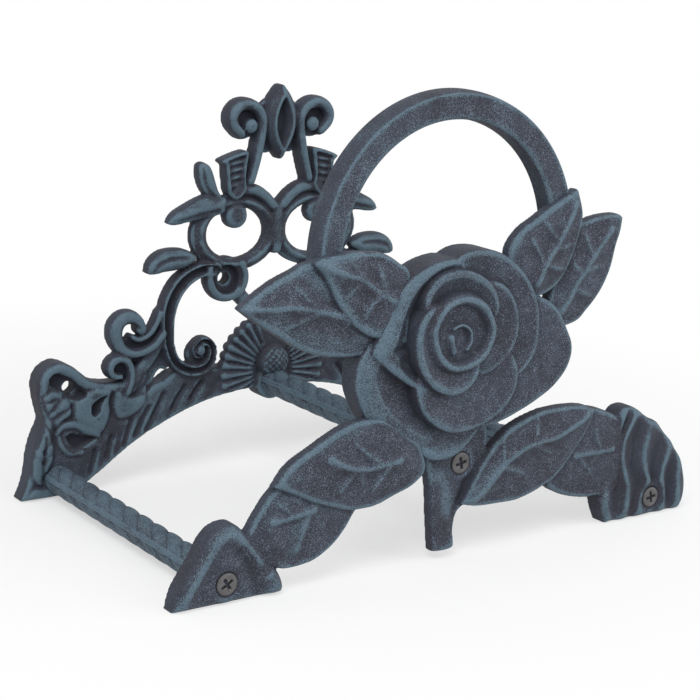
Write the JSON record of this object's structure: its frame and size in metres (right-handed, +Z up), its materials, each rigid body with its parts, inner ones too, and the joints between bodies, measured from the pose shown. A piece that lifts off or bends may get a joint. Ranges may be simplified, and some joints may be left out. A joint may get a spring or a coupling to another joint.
{
  "type": "hose hanger",
  "caption": "Cast wall hanger for a garden hose: open scroll wall plate, ridged cradle bars and a rose front plate with leaves, foot caps and a hoop.",
  "frame": {"origin": "on the wall plane, midway between the upper wall-screw holes", "axes": "+X to the right as seen from the front, +Y into the wall, +Z up"},
  "size_m": [0.278, 0.1738, 0.2002],
  "materials": {
    "cast_iron": "dark slate paint with blue-green rubbed on the raised parts, sandy and matt",
    "screw_steel": "grey phosphate, satin"
  },
  "bodies": {
    "root": {"back_plate": "cast_iron", "front_plate": "cast_iron", "bar_left": "cast_iron", "bar_centre": "cast_iron", "bar_right": "cast_iron", "front_screws": "screw_steel", "back_screws": "screw_steel"}
  },
  "joints": []
}
